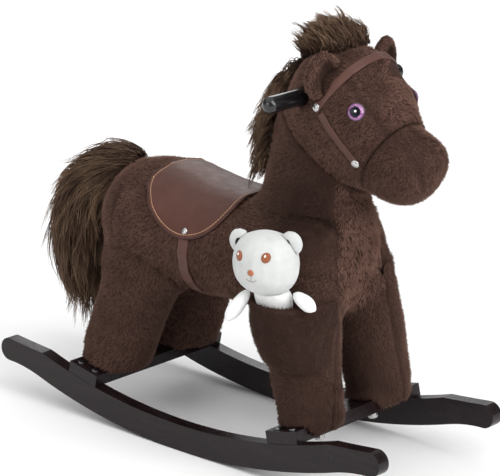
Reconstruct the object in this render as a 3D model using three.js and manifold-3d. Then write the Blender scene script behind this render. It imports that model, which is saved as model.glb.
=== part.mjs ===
// A plush ride-on rocking horse: two wooden rockers joined by two crossbars, a wooden inner frame, a stuffed
// plush body over it, a leatherette saddle and bridle, a turned handle through the head, and a small
// stuffed bear that lifts out of a pocket on the right foreleg.
// Millimetres. +X forward, +Y to the horse's left, +Z up, z = 0 on the floor.

import * as THREE from "three";
import { mergeVertices } from "three/addons/utils/BufferGeometryUtils.js";
import Module from "manifold-3d";

const wasm = await Module();
wasm.setup();

// ---------------------------------------------------------------------------------------------
// Driving dimensions
// ---------------------------------------------------------------------------------------------

const GAP = 0.3; // clearance between pieces that touch
const ORIGIN_SHIFT = 15.3; // the bear stands out on the right, so the box's middle is beside the mid-plane

const BOARD = 18; // thickness of the rocker boards
const WIDTH = 240; // over both rockers
const ROCKER_RADIUS = 874; // of the lower edge
const ROCKER_HEIGHT = 35;
const ROCKER_END = 329; // half of the length
const ROCKER_FACETS = 29; // odd, so that a flat facet lies on the floor

const BAR = { x: 175, wide: 50, thick: 16 }; // crossbars, mirrored front to back
const SCREW = { headRadius: 5, headHeight: 2, shankRadius: 2.2, length: 34, spacing: 26 };
const BOLT = { headRadius: 7, headHeight: 13, shankRadius: 3, length: 60 };
const POST = { wide: 24, deep: 26, y: 52, frontX: 168, rearX: -167, top: 224 };
const SPINE = { from: -178, to: 178, half: 60, thick: 18 };
const NECK_BOARD = { thick: 20, deep: 60, top: 498 };

const HANDLE = { x: 152, z: 477, radius: 10.5, half: 126 };
const MUZZLE_SEAM = { x: 243, z: 404, tilt: 64 }; // a plane that leans forward
const SADDLE_THICK = 4.5;
const STRAP_THICK = 2.6;
const BEAR = { x: 150, y: -122, headZ: 283, turn: 14 };
const POCKET_RIM = 228;

const MATERIALS = {
  wood: { color: 0x1c1416, roughness: 0.35 },
  inner_wood: { color: 0xc8a678, roughness: 0.7 },
  screw: { color: 0x2a2a2c, roughness: 0.4, metalness: 0.8 },
  steel: { color: 0xc9c9cc, roughness: 0.3, metalness: 0.9 },
  plush: { color: 0x4a352d, roughness: 1 },
  hair: { color: 0x46362a, roughness: 0.9 },
  leather: { color: 0x5a352e, roughness: 0.35 },
  strap: { color: 0x6a463e, roughness: 0.45 },
  handle: { color: 0x0b0b0c, roughness: 0.2 },
  eye: { color: 0x7d4a6c, roughness: 0.1 },
  bear: { color: 0xf0efec, roughness: 1 },
};

// ---------------------------------------------------------------------------------------------
// Making and cutting solids
// ---------------------------------------------------------------------------------------------

const radians = THREE.MathUtils.degToRad;

function toSolid(geometry) {
  const bare = geometry.index ? geometry.toNonIndexed() : geometry.clone();
  bare.deleteAttribute("normal");
  bare.deleteAttribute("uv");
  const merged = mergeVertices(bare, 1e-3);
  return new wasm.Manifold(
    new wasm.Mesh({
      numProp: 3,
      vertProperties: merged.attributes.position.array,
      triVerts: new Uint32Array(merged.index.array),
    }),
  );
}

function toGeometry(solid) {
  const mesh = solid.getMesh();
  const geometry = new THREE.BufferGeometry();
  geometry.setAttribute("position", new THREE.BufferAttribute(new Float32Array(mesh.vertProperties), 3));
  geometry.setIndex(new THREE.BufferAttribute(new Uint32Array(mesh.triVerts), 1));
  return geometry;
}

const cut = (body, ...tools) => toGeometry(tools.reduce((s, t) => s.subtract(toSolid(t)), toSolid(body)));
const keep = (body, region) => toGeometry(toSolid(body).intersect(toSolid(region)));
const join = (body, ...others) => toGeometry(others.reduce((s, t) => s.add(toSolid(t)), toSolid(body)));

// Only the largest body of a cut, without slivers.
function largest(geometry) {
  const bodies = toSolid(geometry).decompose();
  return toGeometry(bodies.reduce((best, b) => (b.volume() > best.volume() ? b : best)));
}

// A box between two corners.
function box(low, high) {
  const size = high.map((value, i) => value - low[i]);
  const middle = high.map((value, i) => (value + low[i]) / 2);
  return new THREE.BoxGeometry(...size).translate(...middle);
}

// A rod along Z from 0 to length, with the edges of its foot and tip rounded off by the given amounts.
function rod(radius, length, sides, { foot = 0, tip = 0, steps = 3 } = {}) {
  const profile = [new THREE.Vector2(0, 0)];
  const corner = (round, z, turn) => {
    for (let i = 0; i <= (round ? steps : 0); i++) {
      const a = round ? (i / steps) * (Math.PI / 2) : 0;
      const [out, up] = turn > 0 ? [Math.sin(a), -Math.cos(a)] : [Math.cos(a), Math.sin(a)];
      profile.push(new THREE.Vector2(radius - round + round * out, z + round * up));
    }
  };
  corner(foot, foot, 1);
  corner(tip, length - tip, -1);
  profile.push(new THREE.Vector2(0, length));
  return new THREE.LatheGeometry(profile, sides).rotateX(Math.PI / 2);
}

// Catmull-Rom through evenly spaced rows of numbers, at s from 0 to rows - 1.
function along(rows, s) {
  const i = Math.min(Math.floor(s), rows.length - 2);
  const t = s - i;
  const at = (k) => rows[THREE.MathUtils.clamp(k, 0, rows.length - 1)];
  return rows[i].map((_, c) => {
    const [a, b, d, e] = [at(i - 1)[c], at(i)[c], at(i + 1)[c], at(i + 2)[c]];
    const square = (2 * a - 5 * b + 4 * d - e) * t * t;
    const cube = (3 * b - a - 3 * d + e) * t * t * t;
    return 0.5 * (2 * b + (d - a) * t + square + cube);
  });
}

// A closed soft form through oval stations [x, y, z, wide, deep, tilt]. Each oval's half-width is wide
// along Y and deep along the direction that tilt, in degrees, turns up from +X. grow moves the skin out.
function loft(stations, { sides = 18, slices = 2, grow = 0, square = 1 } = {}) {
  const rings = [];
  const count = (stations.length - 1) * slices;
  for (let j = 0; j <= count; j++) {
    const [x, y, z, wide, deep, tilt] = along(stations, j / slices);
    const ring = [];
    for (let k = 0; k < sides; k++) {
      const a = (k / sides) * 2 * Math.PI;
      const c = Math.sign(Math.cos(a)) * Math.abs(Math.cos(a)) ** square;
      const s = Math.sign(Math.sin(a)) * Math.abs(Math.sin(a)) ** square;
      const across = (Math.max(deep, 0.5) + grow) * s;
      ring.push([
        x + across * Math.cos(radians(tilt)),
        y + (Math.max(wide, 0.5) + grow) * c,
        z + across * Math.sin(radians(tilt)),
      ]);
    }
    rings.push(ring);
  }
  return closedRings(rings, grow);
}

// Joins rings of points into a closed skin, with a point beyond each end ring.
function closedRings(rings, grow) {
  const sides = rings[0].length;
  const middle = (ring) => [0, 1, 2].map((c) => ring.reduce((sum, p) => sum + p[c], 0) / sides);
  const first = new THREE.Vector3(...middle(rings[0]));
  const last = new THREE.Vector3(...middle(rings[rings.length - 1]));
  const inward = new THREE.Vector3(...middle(rings[1])).sub(first).normalize();
  const outward = last.clone().sub(new THREE.Vector3(...middle(rings[rings.length - 2]))).normalize();
  first.addScaledVector(inward, -grow);
  last.addScaledVector(outward, grow);
  const points = [...rings.flat(), first.toArray(), last.toArray()];
  const faces = [];
  for (let j = 0; j + 1 < rings.length; j++)
    for (let k = 0; k < sides; k++) {
      const [a, b] = [j * sides + k, j * sides + ((k + 1) % sides)];
      faces.push([a, b, b + sides], [a, b + sides, a + sides]);
    }
  const top = (rings.length - 1) * sides;
  for (let k = 0; k < sides; k++) {
    const next = (k + 1) % sides;
    faces.push([points.length - 2, next, k], [points.length - 1, top + k, top + next]);
  }
  const volume = faces.reduce((sum, [a, b, c]) => {
    const [p, q, r] = [a, b, c].map((i) => new THREE.Vector3(...points[i]));
    return sum + p.dot(q.cross(r));
  }, 0);
  if (volume < 0) faces.forEach((face) => face.reverse());
  const geometry = new THREE.BufferGeometry();
  geometry.setAttribute("position", new THREE.Float32BufferAttribute(points.flat(), 3));
  geometry.setIndex(faces.flat());
  return geometry;
}

// An outline in the XZ plane, given a thickness along Y between two values.
function plate(shape, fromY, toY, curveSegments = 12) {
  const geometry = new THREE.ExtrudeGeometry(shape, {
    depth: toY - fromY,
    bevelEnabled: false,
    curveSegments,
  });
  return geometry.rotateX(Math.PI / 2).translate(0, toY, 0);
}

// Where a ray along Y, starting on the right at (x, z), first meets a form.
function rightSurface(geometry, x, z) {
  const mesh = new THREE.Mesh(geometry, new THREE.MeshBasicMaterial());
  const ray = new THREE.Raycaster(new THREE.Vector3(x, -400, z), new THREE.Vector3(0, 1, 0));
  const hit = ray.intersectObject(mesh)[0];
  return { point: hit.point, normal: hit.face.normal.clone() };
}

// Turns a shape that was made along +Z so that +Z points along a direction, and puts it at a point.
function aim(geometry, direction, point) {
  const turn = new THREE.Quaternion().setFromUnitVectors(
    new THREE.Vector3(0, 0, 1),
    direction.clone().normalize(),
  );
  return geometry.applyQuaternion(turn).translate(point.x, point.y, point.z);
}

const mirrored = (geometry) => {
  const copy = (geometry.index ? geometry.toNonIndexed() : geometry.clone()).scale(1, -1, 1);
  const position = copy.attributes.position;
  for (let i = 0; i < position.count; i += 3)
    for (let c = 0; c < 3; c++) {
      const value = position.array[3 * (i + 1) + c];
      position.array[3 * (i + 1) + c] = position.array[3 * (i + 2) + c];
      position.array[3 * (i + 2) + c] = value;
    }
  return copy;
};

const horse = new THREE.Group();
horse.position.y = ORIGIN_SHIFT;

function add(name, geometry, material) {
  const mesh = new THREE.Mesh(geometry, new THREE.MeshStandardMaterial(MATERIALS[material]));
  mesh.name = name;
  horse.add(mesh);
}

// ---------------------------------------------------------------------------------------------
// Rockers and crossbars
// ---------------------------------------------------------------------------------------------

const arcHeight = (x, radius) => ROCKER_RADIUS - Math.sqrt(radius * radius - x * x);

function rockerShape() {
  const toe = 15.5; // radius of each rounded end
  const toeX = ROCKER_END - toe;
  const toeZ = 63.5;
  const lowEnd = 262; // where the lower arc stops
  const highEnd = 250; // where the upper arc stops
  const shape = new THREE.Shape();
  for (let i = 0; i <= ROCKER_FACETS; i++) {
    const x = -lowEnd + (2 * lowEnd * i) / ROCKER_FACETS;
    const z = arcHeight(x, ROCKER_RADIUS) - arcHeight(lowEnd / ROCKER_FACETS, ROCKER_RADIUS);
    if (i === 0) shape.moveTo(x, z);
    else shape.lineTo(x, z);
  }
  shape.quadraticCurveTo(288, 47.5, toeX - 3, toeZ - toe);
  shape.absarc(toeX, toeZ, toe, -Math.PI / 2, Math.PI / 2 + 0.2, false);
  shape.quadraticCurveTo(280, 75.5, highEnd, arcHeight(highEnd, ROCKER_RADIUS - ROCKER_HEIGHT));
  const steps = 30;
  for (let i = 1; i < steps; i++) {
    const x = highEnd - (2 * highEnd * i) / steps;
    shape.lineTo(x, arcHeight(x, ROCKER_RADIUS - ROCKER_HEIGHT));
  }
  shape.lineTo(-highEnd, arcHeight(highEnd, ROCKER_RADIUS - ROCKER_HEIGHT));
  shape.quadraticCurveTo(-280, 75.5, -toeX + toe * Math.sin(0.2), toeZ + toe * Math.cos(0.2));
  shape.absarc(-toeX, toeZ, toe, Math.PI / 2 - 0.2, (3 * Math.PI) / 2, false);
  shape.quadraticCurveTo(-288, 47.5, -lowEnd, arcHeight(lowEnd, ROCKER_RADIUS) - 0.05);
  return shape;
}

// Puts a shape that was made at a level bar's middle, with z = 0 on its underside, onto the rockers.
function onRockers(geometry, end) {
  const radius = ROCKER_RADIUS - ROCKER_HEIGHT;
  const tilt = Math.asin(BAR.x / radius);
  return geometry
    .rotateY(-end * tilt)
    .translate(end * BAR.x, 0, arcHeight(BAR.x, radius) + (BAR.wide / 2) ** 2 / (2 * radius) + GAP);
}

const bar = (end, grow = 0) =>
  onRockers(
    box(
      [-BAR.wide / 2 - grow, -WIDTH / 2 - grow, -grow],
      [BAR.wide / 2 + grow, WIDTH / 2 + grow, BAR.thick + grow],
    ),
    end,
  );

// A round-headed screw, head up, driven down through a bar's top at (x, y).
function screw(end, x, y, grow = 0) {
  const head = rod(SCREW.headRadius + grow, SCREW.headHeight + 2 * grow, 10, { tip: 1.4, steps: 2 });
  head.translate(x, y, BAR.thick + GAP - grow);
  const shank = rod(SCREW.shankRadius + grow, SCREW.length + 2 * grow, 6);
  shank.translate(x, y, BAR.thick + GAP + 0.5 - SCREW.length - grow);
  return onRockers(join(head, shank), end);
}

// A dome-headed bolt, head down, up through a bar into a leg post.
function bolt(end, side, grow = 0) {
  const head = rod(BOLT.headRadius + grow, BOLT.headHeight + 2 * grow, 14, { foot: 4 });
  head.translate(0, side * POST.y, -BOLT.headHeight - GAP - grow);
  const shank = rod(BOLT.shankRadius + grow, BOLT.length + 2 * grow, 8);
  shank.translate(0, side * POST.y, -GAP - 0.5 - grow);
  return onRockers(join(head, shank), end);
}

const ENDS = { front: 1, rear: -1 };
const SIDES = { right: -1, left: 1 };
const screwX = [-SCREW.spacing / 2, SCREW.spacing / 2];
const screwY = WIDTH / 2 - BOARD / 2;

for (const [sideName, side] of Object.entries(SIDES)) {
  const inner = side * (WIDTH / 2 - BOARD);
  const outer = (side * WIDTH) / 2;
  const board = plate(rockerShape(), Math.min(inner, outer), Math.max(inner, outer), 8);
  const holes = Object.values(ENDS).flatMap((end) => screwX.map((x) => screw(end, x, side * screwY, GAP)));
  add(`rocker_${sideName}`, cut(board, ...holes), "wood");
}
for (const [endName, end] of Object.entries(ENDS)) {
  const holes = Object.values(SIDES).flatMap((side) => [
    ...screwX.map((x) => screw(end, x, side * screwY, GAP)),
    bolt(end, side, GAP),
  ]);
  add(`crossbar_${endName}`, cut(bar(end), ...holes), "wood");
  for (const [sideName, side] of Object.entries(SIDES)) {
    screwX.forEach((x, i) =>
      add(`crossbar_screw_${endName}_${sideName}_${i + 1}`, screw(end, x, side * screwY), "screw"),
    );
    add(`leg_bolt_${endName}_${sideName}`, bolt(end, side), "steel");
  }
}

// ---------------------------------------------------------------------------------------------
// Wooden inner frame and handle
// ---------------------------------------------------------------------------------------------

function post(end, side, grow = 0) {
  const x = end > 0 ? POST.frontX : POST.rearX;
  return box(
    [x - POST.deep / 2 - grow, side * POST.y - POST.wide / 2 - grow, 50 - grow],
    [x + POST.deep / 2 + grow, side * POST.y + POST.wide / 2 + grow, POST.top + grow],
  );
}

const spine = (grow = 0) =>
  box(
    [SPINE.from - grow, -SPINE.half - grow, POST.top + GAP - grow],
    [SPINE.to + grow, SPINE.half + grow, POST.top + GAP + SPINE.thick + grow],
  );

// The upright board in the neck leans forward and ends inside the head.
function neckBoard(grow = 0) {
  const base = POST.top + 2 * GAP + SPINE.thick;
  const [low, high] = [108, HANDLE.x];
  const half = NECK_BOARD.deep / 2 + grow;
  const shape = new THREE.Shape([
    new THREE.Vector2(low - half, base - grow),
    new THREE.Vector2(low + half, base - grow),
    new THREE.Vector2(high + half, NECK_BOARD.top - 30),
    new THREE.Vector2(high + half - 12, NECK_BOARD.top + grow),
    new THREE.Vector2(high - half + 12, NECK_BOARD.top + grow),
    new THREE.Vector2(high - half, NECK_BOARD.top - 30),
  ]);
  return plate(shape, -NECK_BOARD.thick / 2 - grow, NECK_BOARD.thick / 2 + grow);
}

function handle(grow = 0) {
  const round = HANDLE.radius * 0.8;
  const turned = rod(HANDLE.radius + grow, 2 * (HANDLE.half + grow), 16, { foot: round, tip: round });
  return turned.rotateX(-Math.PI / 2).translate(HANDLE.x, -HANDLE.half - grow, HANDLE.z);
}

for (const [endName, end] of Object.entries(ENDS))
  for (const [sideName, side] of Object.entries(SIDES))
    add(
      `leg_post_${endName}_${sideName}`,
      cut(post(end, side), bar(end, GAP), bolt(end, side, GAP), box([-400, -200, 0], [400, 200, 62])),
      "inner_wood",
    );
add("spine_board", spine(), "inner_wood");
add("neck_board", cut(neckBoard(), handle(GAP)), "inner_wood");
add("handle_bar", handle(), "handle");

// ---------------------------------------------------------------------------------------------
// Plush forms: [x, y, z, wide, deep, tilt]
// ---------------------------------------------------------------------------------------------

const torsoForm = (grow = 0) =>
  loft(
    [
      [-207, 0, 262, 14, 12, 90],
      [-197, 0, 262, 56, 48, 90],
      [-166, 0, 262, 82, 72, 90],
      [-110, 0, 258, 92, 76, 90],
      [-40, 0, 252, 92, 70, 90],
      [40, 0, 251, 89, 70, 90],
      [110, 0, 258, 88, 78, 90],
      [156, 0, 262, 84, 78, 90],
      [188, 0, 264, 64, 60, 90],
      [202, 0, 264, 22, 22, 90],
    ],
    { grow, sides: 22, square: 0.94 },
  );

// Each leg leans in towards the mid-plane as it rises: [x, y, z, wide, deep] for the left one.
const FRONT_LEG = [
  [175, 65, 64, 37, 34],
  [175, 65, 70, 42, 41],
  [172, 65, 94, 45, 45],
  [164, 64, 132, 47, 47],
  [157, 60, 172, 47, 51],
  [151, 54, 212, 45, 53],
  [148, 47, 252, 42, 50],
  [148, 42, 284, 24, 34],
];
const HIND_LEG = [
  [-163, 63, 64, 40, 40],
  [-163, 63, 70, 44, 48],
  [-159, 63, 94, 47, 54],
  [-145, 62, 132, 48, 54],
  [-128, 58, 172, 47, 60],
  [-116, 52, 212, 44, 68],
  [-112, 46, 252, 38, 66],
  [-112, 42, 284, 20, 44],
];

const legForm = (end, side, grow = 0) =>
  loft(
    (end > 0 ? FRONT_LEG : HIND_LEG).map(([x, y, z, wide, deep]) => [x, side * y, z, wide, deep, 0]),
    { grow },
  );

const neckForm = (grow = 0) =>
  loft(
    [
      [122, 0, 262, 70, 84, 0],
      [123, 0, 306, 64, 85, 0],
      [128, 0, 350, 56, 77, 0],
      [132, 0, 394, 50, 68, 0],
      [136, 0, 438, 48, 62, 0],
      [142, 0, 474, 36, 44, 0],
    ],
    { grow },
  );

// The head and muzzle lie along one axis that points forward and down.
const headForm = (grow = 0) =>
  loft(
    [
      [104, 0, 480, 18, 20, 66],
      [114, 0, 478, 44, 48, 66],
      [142, 0, 470, 60, 70, 66],
      [180, 0, 455, 67, 81, 66],
      [216, 0, 434, 62, 76, 65],
      [248, 0, 410, 50, 56, 64],
      [276, 0, 396, 34, 36, 64],
    ],
    { grow, sides: 20 },
  );
const muzzleForm = (grow = 0) =>
  loft(
    [
      [225, 0, 414, 34, 34, 64],
      [236, 0, 410, 47, 47, 64],
      [256, 0, 402, 54, 51, 64],
      [278, 0, 395, 54, 49, 66],
      [298, 0, 389, 42, 38, 68],
      [309, 0, 386, 14, 12, 68],
    ],
    { grow, sides: 20 },
  );

// Everything behind the muzzle seam, or in front of it, moved off the plane by a gap.
function seamSide(forward, gap = 0) {
  const far = 400;
  const slab = forward
    ? box([gap, -far, -far], [far, far, far])
    : box([-far, -far, -far], [-gap, far, far]);
  return slab.rotateY(radians(90 - MUZZLE_SEAM.tilt)).translate(MUZZLE_SEAM.x, 0, MUZZLE_SEAM.z);
}

// ---------------------------------------------------------------------------------------------
// Bear and pocket forms
// ---------------------------------------------------------------------------------------------

// The bear is made facing -Y about its own upright axis, then turned a little and put on the foreleg.
const placeBear = (geometry) => geometry.rotateZ(radians(BEAR.turn)).translate(BEAR.x, BEAR.y, 0);

const bearBody = (grow = 0) =>
  placeBear(
    loft(
      [
        [7, 12, 184, 4, 6, 0],
        [7, 12, 188, 10, 14, 0],
        [7, 12, 206, 14, 21, 0],
        [6, 11, 226, 16, 24, 0],
        [5, 8, 242, 17, 25, 0],
        [3, 4, 256, 14, 18, 0],
      ],
      { grow, sides: 16 },
    ),
  );

const bearHead = (grow = 0) =>
  placeBear(
    loft(
      [
        [0, 1, BEAR.headZ - 39, 6, 8, 0],
        [0, 1, BEAR.headZ - 35, 20, 26, 0],
        [0, 0, BEAR.headZ - 20, 31, 39, 0],
        [0, 0, BEAR.headZ, 34, 43, 0],
        [0, 0, BEAR.headZ + 18, 31, 39, 0],
        [0, 1, BEAR.headZ + 32, 22, 28, 0],
        [0, 1, BEAR.headZ + 39, 5, 7, 0],
      ],
      { grow, sides: 18 },
    ),
  );

// The bear's head leans a little, so its ears are not level.
const BEAR_EARS = {
  front: { x: 32, z: 27, lean: 34 },
  rear: { x: -37, z: 21, lean: -22 },
};
const bearEar = ({ x, z, lean }) =>
  placeBear(
    loft(
      [
        [0, 0, -14, 3, 8, 0],
        [0, 0, -10, 6, 14, 0],
        [0, 0, 1, 7, 16, 0],
        [0, 0, 10, 5, 12, 0],
        [0, 0, 15, 2, 5, 0],
      ],
      { sides: 12 },
    )
      .rotateY(radians(lean))
      .translate(x, 4, BEAR.headZ + z),
  );

// The arms slope down over the pocket's rim from shoulder to hand.
const BEAR_ARMS = {
  front: { side: 1, shoulder: [34, 6, 246], hand: [70, -5, 234] },
  rear: { side: -1, shoulder: [-25, 2, 243], hand: [-50, -9, 203] },
};
function bearArm({ side, shoulder, hand }) {
  const drop = shoulder[2] - hand[2];
  const slope = THREE.MathUtils.radToDeg(Math.atan2(drop, Math.abs(hand[0] - shoulder[0])));
  const halfWidths = [3, 7, 8.5, 9.5, 9.5, 7.5, 2.5];
  const stations = halfWidths.map((half, i) => {
    const t = i / (halfWidths.length - 1);
    const [x, y, z] = shoulder.map((value, c) => value + (hand[c] - value) * t);
    return [x, y, z, half, half, side * (90 - slope)];
  });
  return placeBear(loft(stations, { sides: 12, slices: 1 }));
}

// The pocket is a panel that bulges off the outer side of the foreleg. Its hollow runs straight down.
const pocketForm = () =>
  keep(
    loft([
      [165, -62, 144, 48, 46, 0],
      [164, -63, 152, 56, 48, 0],
      [161, -68, 178, 63, 49, 0],
      [158, -71, 204, 66, 50, 0],
      [156, -71, 244, 67, 50, 0],
    ]),
    box([60, -300, 148], [205, -54, POCKET_RIM]),
  );
const pocketHollow = (grow = 0) =>
  loft(
    [
      [157, -103, 160, 8, 12, 0],
      [156, -104, 166, 13, 19, 0],
      [155, -107, 186, 17, 24, 0],
      [155, -109, 210, 21, 28, 0],
      [155, -109, 300, 24, 29, 0],
    ],
    { grow },
  );

// ---------------------------------------------------------------------------------------------
// Plush pieces
// ---------------------------------------------------------------------------------------------

const everyPost = (grow) =>
  Object.values(ENDS).flatMap((end) => Object.values(SIDES).map((side) => post(end, side, grow)));

add("torso_plush", cut(torsoForm(), spine(1), ...everyPost(1), neckBoard(1), pocketHollow(1)), "plush");

for (const [endName, end] of Object.entries(ENDS))
  for (const [sideName, side] of Object.entries(SIDES)) {
    const frame = [post(end, side, 1), spine(1), bar(end, GAP), bolt(end, side, GAP)];
    const tools = [...frame, torsoForm(GAP), neckForm(GAP)];
    if (end > 0 && side < 0) tools.push(pocketHollow(0));
    add(`leg_plush_${endName}_${sideName}`, largest(cut(legForm(end, side), ...tools)), "plush");
  }

add("neck_plush", largest(cut(neckForm(), torsoForm(GAP), headForm(GAP), neckBoard(1), handle(1))), "plush");

const eyeAt = { x: 231, z: 470 };
const eyeSpot = rightSurface(headForm(), eyeAt.x, eyeAt.z);
function eye(grow = 0) {
  const dome = rod(11 + grow, 5 + 2 * grow, 16, { tip: 4.5 }).translate(0, 0, 0.8 - grow);
  const stem = rod(3 + grow, 14 + 2 * grow, 8).translate(0, 0, -12 - grow);
  return aim(join(dome, stem), eyeSpot.normal, eyeSpot.point);
}

const headTools = [neckBoard(1), handle(GAP), eye(GAP), mirrored(eye(GAP)), seamSide(true)];
add("head_plush", largest(cut(headForm(), ...headTools)), "plush");
add("muzzle_plush", largest(cut(muzzleForm(), seamSide(false, -GAP))), "plush");
add("eye_right", eye(), "eye");
add("eye_left", mirrored(eye()), "eye");

// Ears are cupped leaves that face forward and out.
function earForm(grow = 0) {
  const leaf = loft(
    [
      [0, 0, -22, 7, 10, 0],
      [0, 0, -12, 10, 17, 0],
      [0, 0, 8, 12, 30, 0],
      [0, 0, 28, 11, 27, 0],
      [0, 0, 44, 7, 14, 0],
      [0, 0, 50, 2, 4, 0],
    ],
    { grow, sides: 14 },
  );
  return leaf;
}
function earCup() {
  return loft(
    [
      [0, -13, -10, 4, 6, 0],
      [0, -13, 2, 14, 18, 0],
      [0, -13, 22, 15, 19, 0],
      [0, -13, 36, 10, 10, 0],
      [0, -13, 42, 4, 4, 0],
    ],
    { sides: 10 },
  );
}
const placeEar = (geometry) =>
  geometry.scale(0.95, 0.95, 0.95).rotateZ(radians(76)).rotateX(radians(14)).translate(183, -51, 490);
const rightEar = () => cut(placeEar(cut(earForm(), earCup())), headForm(GAP));
add("ear_right", largest(rightEar()), "plush");
add("ear_left", mirrored(largest(rightEar())), "plush");

// ---------------------------------------------------------------------------------------------
// Mane, forelock and tail
// ---------------------------------------------------------------------------------------------

const maneForm = () =>
  loft(
    [
      [60, 0, 350, 8, 8, 0],
      [58, 0, 360, 18, 16, -2],
      [60, 0, 394, 22, 22, -6],
      [68, 0, 430, 24, 24, -14],
      [88, 0, 462, 26, 26, -26],
      [110, 0, 490, 26, 24, -38],
      [126, 0, 506, 12, 12, -46],
    ],
    { sides: 14 },
  );
const forelockForm = (grow = 0) =>
  loft(
    [
      [110, 0, 508, 12, 10, 100],
      [118, 0, 516, 26, 20, 98],
      [142, 0, 527, 34, 25, 93],
      [166, 0, 530, 35, 24, 86],
      [186, 0, 525, 27, 20, 76],
      [198, 0, 517, 10, 8, 70],
    ],
    { grow, sides: 16 },
  );
const wholeEar = placeEar(earForm(GAP));
const forelock = largest(cut(forelockForm(), headForm(GAP), wholeEar, mirrored(wholeEar)));
add("forelock", forelock, "hair");
const maneTools = [neckForm(GAP), headForm(GAP), torsoForm(GAP), handle(1), forelockForm(GAP)];
add("mane", largest(cut(maneForm(), ...maneTools)), "hair");

const tailForm = () =>
  loft([
    [-182, 0, 322, 10, 10, 84],
    [-198, 0, 321, 22, 20, 90],
    [-230, 0, 308, 34, 30, 108],
    [-262, 0, 286, 42, 37, 132],
    [-284, 0, 246, 45, 40, 158],
    [-292, 0, 200, 44, 40, 174],
    [-292, 0, 154, 36, 34, 182],
    [-288, 0, 118, 18, 18, 186],
    [-287, 0, 108, 4, 4, 186],
  ]);
add("tail", largest(cut(tailForm(), torsoForm(2), legForm(-1, 1, 2), legForm(-1, -1, 2))), "hair");

// ---------------------------------------------------------------------------------------------
// Saddle and girth
// ---------------------------------------------------------------------------------------------

const onTorso = (thick) => cut(torsoForm(thick + 0.4), torsoForm(0.4));

function saddleShape() {
  const shape = new THREE.Shape();
  shape.moveTo(-116, 355);
  shape.lineTo(-112, 325);
  shape.bezierCurveTo(-94, 304, -64, 273, -24, 271);
  shape.bezierCurveTo(10, 271, 33, 292, 34, 312);
  shape.bezierCurveTo(34, 322, 22, 332, 10, 355);
  return shape;
}
const saddlePrism = () => plate(saddleShape(), -150, 150);
const saddle = keep(onTorso(SADDLE_THICK), saddlePrism());
add("saddle", largest(cut(saddle, neckForm(GAP), legForm(1, -1, GAP), legForm(1, 1, GAP))), "leather");

const girthRegion = box([-26, -150, 100], [-10, 150, 296]);
const saddleAbove = plate(saddleShape(), -160, 160).translate(0, 0, -GAP);
const girth = cut(keep(onTorso(STRAP_THICK), girthRegion), saddleAbove);
add("girth_strap", largest(girth), "strap");

const rivetAt = { x: -17, z: 281 };
function saddleRivet() {
  const spot = rightSurface(torsoForm(SADDLE_THICK + 0.4), rivetAt.x, rivetAt.z);
  spot.point.addScaledVector(spot.normal, GAP);
  return aim(rod(4, 2, 10, { tip: 1.2, steps: 1 }), spot.normal, spot.point);
}
add("saddle_rivet_right", saddleRivet(), "steel");
add("saddle_rivet_left", mirrored(saddleRivet()), "steel");

// ---------------------------------------------------------------------------------------------
// Bridle
// ---------------------------------------------------------------------------------------------

const TEMPLE = { x: 181, z: 470 };
const CHEEK = { x: 233, z: 407 };
const onHead = (thick) => cut(headForm(thick + 0.4), headForm(0.4));

// A slab across the head that holds the line from one XZ point to another, and reaches past both ends.
function strapSlab(from, to, wide, before, after) {
  const [dx, dz] = [to.x - from.x, to.z - from.z];
  const length = Math.hypot(dx, dz);
  return box([-before, -200, -wide / 2], [length + after, 200, wide / 2])
    .rotateY(-Math.atan2(dz, dx))
    .translate(from.x, 0, from.z);
}
const bridle = onHead(STRAP_THICK);
const rightHalf = box([0, -300, 0], [600, 0, 700]);
const cheek = largest(keep(keep(bridle, strapSlab(TEMPLE, CHEEK, 9, -9, 2)), rightHalf));
add("cheek_strap_right", cheek, "strap");
add("cheek_strap_left", mirrored(cheek), "strap");

const BROW = { x: 221, z: 530 };
const browband = largest(
  cut(keep(bridle, strapSlab(TEMPLE, BROW, 12, 6, 60)), forelockForm(), wholeEar, mirrored(wholeEar)),
);
add("browband", browband, "strap");

for (const [name, at] of Object.entries({ temple: TEMPLE, cheek: CHEEK })) {
  const spot = rightSurface(headForm(STRAP_THICK + 0.4), at.x, at.z);
  spot.point.addScaledVector(spot.normal, GAP);
  const rivet = aim(rod(5, 2.4, 10, { tip: 1.4, steps: 1 }), spot.normal, spot.point);
  add(`bridle_rivet_${name}_right`, rivet, "steel");
  add(`bridle_rivet_${name}_left`, mirrored(rivet), "steel");
}

// ---------------------------------------------------------------------------------------------
// Pocket and bear
// ---------------------------------------------------------------------------------------------

const rightForeleg = legForm(1, -1, GAP);
add("bear_pocket", largest(cut(pocketForm(), pocketHollow(), rightForeleg, torsoForm(GAP))), "plush");

add("bear_head", bearHead(), "bear");
add("bear_body", largest(cut(bearBody(), bearHead(GAP))), "bear");
for (const name of Object.keys(ENDS)) {
  add(`bear_ear_${name}`, largest(cut(bearEar(BEAR_EARS[name]), bearHead(GAP))), "bear");
  add(`bear_arm_${name}`, largest(cut(bearArm(BEAR_ARMS[name]), bearHead(1), bearBody(1))), "bear");
}

export default horse;
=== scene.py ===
"""Looks of a plush ride-on rocking horse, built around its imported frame. Metres, +X forward, +Z up."""

import math

import bpy
import numpy as np
from mathutils import Matrix, Vector, noise
from mathutils.bvhtree import BVHTree


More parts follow.
